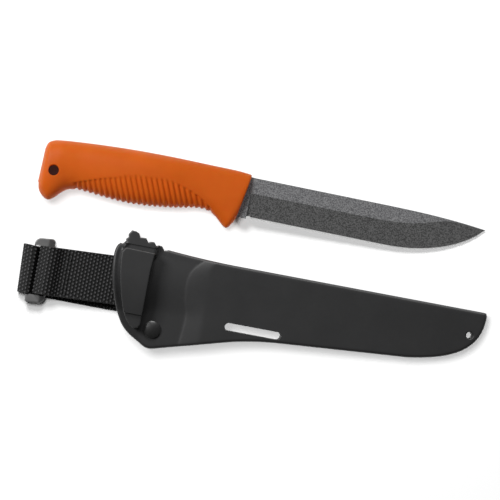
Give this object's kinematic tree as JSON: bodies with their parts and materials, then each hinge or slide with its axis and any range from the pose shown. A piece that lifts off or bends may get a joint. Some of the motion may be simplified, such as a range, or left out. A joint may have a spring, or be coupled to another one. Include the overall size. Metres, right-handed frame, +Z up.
{
  "type": "sheath knife with belt sheath",
  "caption": "Fixed-blade drop-point knife with a grooved orange grip, lying beside its moulded polymer sheath with a webbing belt loop.",
  "frame": {"origin": "under the middle of the whole set's bounding box, on the surface that it lies on", "axes": "+X along the sheath from its mouth to its tip, +Y across it from its belly side to its thumb-ramp side, towards the knife, +Z up out of the table"},
  "size_m": [0.2869, 0.1176, 0.0353],
  "materials": {
    "handle_rubber": "matt orange grip elastomer, fine grain, moulded grip grooves",
    "blade_steel": "grey-coated steel flats; the ground bevel is darker and granular",
    "sheath_polymer": "finely textured charcoal moulded polymer",
    "rivet_black": "smooth black domed press rivet",
    "webbing": "flat woven black nylon webbing",
    "thread": "black sewing thread",
    "slide_plastic": "moulded grey-black plastic"
  },
  "bodies": {
    "sheath": {"front_shell": "sheath_polymer", "back_shell": "sheath_polymer", "rivet": "rivet_black", "rivet_cap": "rivet_black", "strap_anchor": "webbing"},
    "knife": {"blade": "blade_steel", "handle": "handle_rubber"},
    "belt_loop": {"strap_top_run": "webbing", "strap_bottom_run": "webbing", "strap_stitching": "thread", "strap_slide": "slide_plastic"}
  },
  "joints": [
    {"name": "knife_draw", "type": "slide", "parent": "sheath", "child": "knife", "axis": [-1, 0, 0], "range_m": [0, 0.17]},
    {"name": "belt_loop_swing", "type": "hinge", "parent": "sheath", "child": "belt_loop", "pos_m": [-0.09, -0.0244, 0.007], "axis": [0, 1, 0], "range_deg": [0, 85]}
  ]
}
